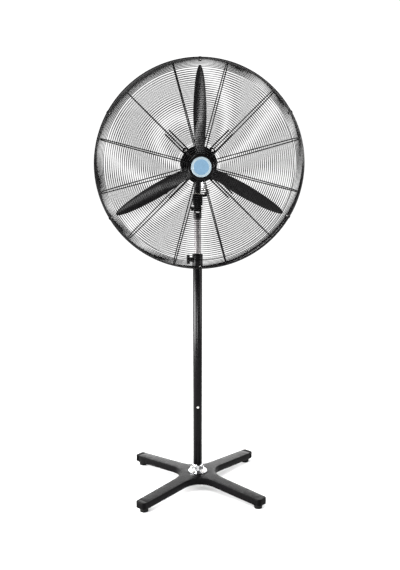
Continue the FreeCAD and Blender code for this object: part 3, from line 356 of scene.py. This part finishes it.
def polar(radius, angle, y):
    """A point round the fan axis; the angle runs from straight up towards +X."""
    return Vector((radius * math.sin(angle), y, FAN_Z + radius * math.cos(angle)))


def make_guard_half(side, rim_y, apex, dome, corner, spoke_start, third_spoke_start, ring_start):
    """The rings and the spokes of one half, as one piece each."""
    meridian = Meridian(apex, dome, corner, rim_y)
    rings = Mesh()
    lift = SPOKE_WIRE + RING_WIRE + WELD_GAP
    distance = ring_start
    while distance <= meridian.total - RIM_CLEAR:
        radius, y = meridian.at(distance, lift)
        rings.add(*torus(radius, RING_WIRE, y))
        distance += RING_PITCH if distance < meridian.dome_length else EDGE_PITCH
    rings.add(*torus(GUARD_R - RIM_WIRE, RIM_WIRE, rim_y, 192, 16))
    make_piece(side + "_guard_ring_wires", side + "_guard_rings", rings.points, rings.faces)

    spokes = Mesh()
    for k in range(SPOKES):
        angle = SPOKE_PHASE + 2 * math.pi * k / SPOKES
        start = third_spoke_start if k % 3 == 1 else spoke_start
        path = []
        for i in range(SPOKE_STEPS + 1):
            t = i / SPOKE_STEPS
            distance = start + (meridian.total - start) * (1 - (1 - t) ** SPOKE_BUNCHING)
            radius, y = meridian.at(distance)
            path.append(polar(radius, angle, y))
        spokes.add(*sweep(path, SPOKE_WIRE))
    make_piece(side + "_guard_spoke_wires", side + "_guard_spokes", spokes.points, spokes.faces)


def make_guard():
    make_guard_half("front", FRONT_RIM_Y, **FRONT_HALF)
    make_guard_half("rear", REAR_RIM_Y, **REAR_HALF)


# --- blades -----------------------------------------------------------------
# Radius and chord in millimetres, pitch in degrees
BLADE_STATIONS = (
    (50, 44, 37.0),
    (80, 50, 37.0),
    (120, 56, 34.5),
    (165, 60.5, 31.0),
    (210, 60, 28.5),
    (255, 54.5, 26.5),
    (300, 46, 24.8),
    (335, 35, 23.5),
    (360, 22, 22.5),
    (374, 9, 22.0),
)
BLADE_THICK = 3.6 * MM
BLADE_CAMBER = 0.07
CAMBER_START = 85.0
CAMBER_RUN = 80.0
EDGE_FULLNESS = 0.6
TIP_BUNCHING = 1.4


def between_stations(radius, column):
    """A smooth value between the stations, by a cubic through their neighbours."""
    rows = BLADE_STATIONS
    last = len(rows) - 2
    i = min(last, max(k for k in range(len(rows) - 1) if rows[k][0] <= radius or k == 0))
    r0, r1 = rows[i][0], rows[i + 1][0]
    t = min(1.0, (radius - r0) / (r1 - r0))

    def slope(k):
        low, high = rows[max(0, k - 1)], rows[min(len(rows) - 1, k + 1)]
        return (high[column] - low[column]) / (high[0] - low[0])

    run = r1 - r0
    return ((2 * t ** 3 - 3 * t ** 2 + 1) * rows[i][column] + (t ** 3 - 2 * t ** 2 + t) * run * slope(i)
            + (3 * t ** 2 - 2 * t ** 3) * rows[i + 1][column] + (t ** 3 - t ** 2) * run * slope(i + 1))


def blade_mesh(angle, rows=72, around=32):
    """One paddle blade; the angle runs from straight up towards +X."""
    points = []
    first, last = BLADE_STATIONS[0][0], BLADE_STATIONS[-1][0]
    for i in range(rows):
        t = i / (rows - 1)
        radius = first + (last - first) * (1 - (1 - t) ** TIP_BUNCHING)
        chord = between_stations(radius, 1) * MM
        pitch = math.radians(between_stations(radius, 2))
        camber = BLADE_CAMBER * chord * min(1.0, max(0.0, (radius - CAMBER_START) / CAMBER_RUN))
        for k in range(around):
            turn = 2 * math.pi * k / around
            bulge = math.copysign(abs(math.sin(turn)) ** EDGE_FULLNESS, math.sin(turn))
            across = chord / 2 * math.cos(turn)
            lift = camber * math.sin(turn) ** 2 + BLADE_THICK / 2 * bulge
            back = across * math.sin(pitch) - lift * math.cos(pitch)
            side = across * math.cos(pitch) + lift * math.sin(pitch)
            point = Vector((side, BLADE_Y + back, radius * MM))
            point = Matrix.Rotation(angle, 3, "Y") @ point
            points.append(point + Vector((0, 0, FAN_Z)))
    faces = [face[::-1] for face in grid_faces(rows, around)]
    faces.append(tuple(range(around)))
    faces.append(tuple((rows - 1) * around + k for k in range(around))[::-1])
    return points, faces


def make_blades():
    """The three blades; each stands for its own node."""
    for number, angle in ((1, 0.0), (2, -120.0), (3, 120.0)):
        make_piece("paddle_blade_%d" % number, "fan_blade_%d" % number,
                   *blade_mesh(math.radians(angle)), smooth=50)


# --- turned parts -----------------------------------------------------------
def make_inner_pole():
    low, high = corners("inner_pole")
    outer = (high.x - low.x) / 2
    bore = outer - POLE_WALL
    profile = [(outer, low.z), (outer, high.z), (bore, high.z), (bore, low.z)]
    make_piece("inner_pole_tube", "inner_pole",
               *lathe(soften(profile, POLE_EDGE), (0, 0, 0), (0, 0, 1)))


def make_badge():
    low, high = corners("badge_disc")
    radius = (high.x - low.x) / 2
    front, back = low.y, high.y
    profile = [(radius, back), (radius, back - BADGE_SIDE), (radius - BADGE_CHAMFER, front),
               (RIM_PAINT_R, front), (RIM_PAINT_R - BADGE_STEP, front + BADGE_SINK),
               (0, front + BADGE_CROWN_SINK), (0, back)]
    profile = soften(profile, BADGE_EDGE)
    piece = make_piece("badge_face", "badge_disc", *lathe(profile, (0, 0, FAN_Z), (0, 1, 0), 128))
    rim_paint = surface("badge_rim", (0.170, 0.215, 0.240), 0.35, vary=0.04)
    piece.data.materials.append(rim_paint)
    for face in piece.data.polygons:
        middle = face.center - Vector((0, face.center.y, FAN_Z))
        if math.hypot(middle.x, middle.z) > RIM_PAINT_R:
            face.material_index = 1


# --- stage, light and camera ------------------------------------------------
WORLD_POWER = 1.12
GLOSS_FRONT = 0.12
GLOSS_BEHIND = 4.6
FLOOR_HALF = 60.0
SIDE_SPREAD = 80
CAMERA_PLACE = (-0.2356, -3.6135, 1.6878)
CAMERA_DOWN = 12.5
CAMERA_RIGHT = 3.89
CAMERA_LENS = 56.92


def soft_light(name, place, target, size, power, spread=180):
    data = bpy.data.lights.new(name, "AREA")
    data.shape = "RECTANGLE"
    data.size, data.size_y = size
    data.energy = power
    data.spread = math.radians(spread)
    light = bpy.data.objects.new(name, data)
    light.location = place
    light.rotation_euler = (Vector(target) - Vector(place)).to_track_quat("-Z", "Y").to_euler()
    bpy.context.scene.collection.objects.link(light)


def make_world():
    """White to the camera and to diffuse light; in reflections, white behind and dim in front."""
    world = bpy.data.worlds.new("studio")
    bpy.context.scene.world = world
    world.use_nodes = True
    nodes, links = world.node_tree.nodes, world.node_tree.links
    back = nodes["Background"]
    back.inputs["Color"].default_value = (1, 1, 1, 1)
    place = nodes.new("ShaderNodeTexCoord")
    parts = nodes.new("ShaderNodeSeparateXYZ")
    links.new(place.outputs["Generated"], parts.inputs["Vector"])
    shade = nodes.new("ShaderNodeMapRange")
    shade.inputs["From Min"].default_value = -0.25
    shade.inputs["From Max"].default_value = 0.35
    shade.inputs["To Min"].default_value = GLOSS_FRONT
    shade.inputs["To Max"].default_value = GLOSS_BEHIND
    links.new(parts.outputs["Y"], shade.inputs["Value"])
    path = nodes.new("ShaderNodeLightPath")
    pick = nodes.new("ShaderNodeMix")
    pick.inputs["A"].default_value = WORLD_POWER
    links.new(path.outputs["Is Glossy Ray"], pick.inputs["Factor"])
    links.new(shade.outputs["Result"], pick.inputs["B"])
    links.new(pick.outputs["Result"], back.inputs["Strength"])


def make_stage():
    size = FLOOR_HALF
    mesh = bpy.data.meshes.new("floor")
    mesh.from_pydata([(-size, -size, 0), (size, -size, 0), (size, size, 0), (-size, size, 0)], [],
                     [(0, 1, 2, 3)])
    floor = bpy.data.objects.new("floor", mesh)
    bpy.context.scene.collection.objects.link(floor)
    mesh.materials.append(surface("pale_floor", (0.93, 0.93, 0.93), 0.9, vary=0.005, bump=0.0,
                                  specular=0.0))


def make_lights():
    # Upper left front, for the lower left blade and the tops of the base.
    soft_light("key", place=(-2.1, -2.4, 4.0), target=(0, 0, 1.1), size=(1.6, 1.6), power=160)
    # Right side at head height, for the top blade.
    soft_light("side", place=(2.6, -1.5, 1.42), target=(0, -0.1, 1.5), size=(1.4, 0.35), power=24,
               spread=SIDE_SPREAD)
    # Wide low card on the left: the streak down the upper half of the pole.
    soft_light("card", place=(-1.96, -0.38, 0.43), target=(0, 0, 0.6), size=(2.4, 0.62), power=58,
               spread=SIDE_SPREAD)
    # Its weak partner on the right.
    soft_light("card_right", place=(1.9, -0.64, 0.55), target=(0, 0, 0.7), size=(1.6, 0.4), power=5,
               spread=SIDE_SPREAD)


def make_camera():
    data = bpy.data.cameras.new("camera")
    data.sensor_width = 36.0
    data.lens = CAMERA_LENS
    camera = bpy.data.objects.new("camera", data)
    camera.location = CAMERA_PLACE
    pitch, yaw = math.radians(CAMERA_DOWN), math.radians(CAMERA_RIGHT)
    ahead = Vector((math.sin(yaw) * math.cos(pitch), math.cos(yaw) * math.cos(pitch), -math.sin(pitch)))
    camera.rotation_euler = ahead.to_track_quat("-Z", "Y").to_euler()
    bpy.context.scene.collection.objects.link(camera)
    bpy.context.scene.camera = camera


dress_nodes()
make_guard()
make_blades()
make_inner_pole()
make_badge()
make_world()
make_stage()
make_lights()
make_camera()
bpy.context.scene.view_settings.view_transform = "Standard"
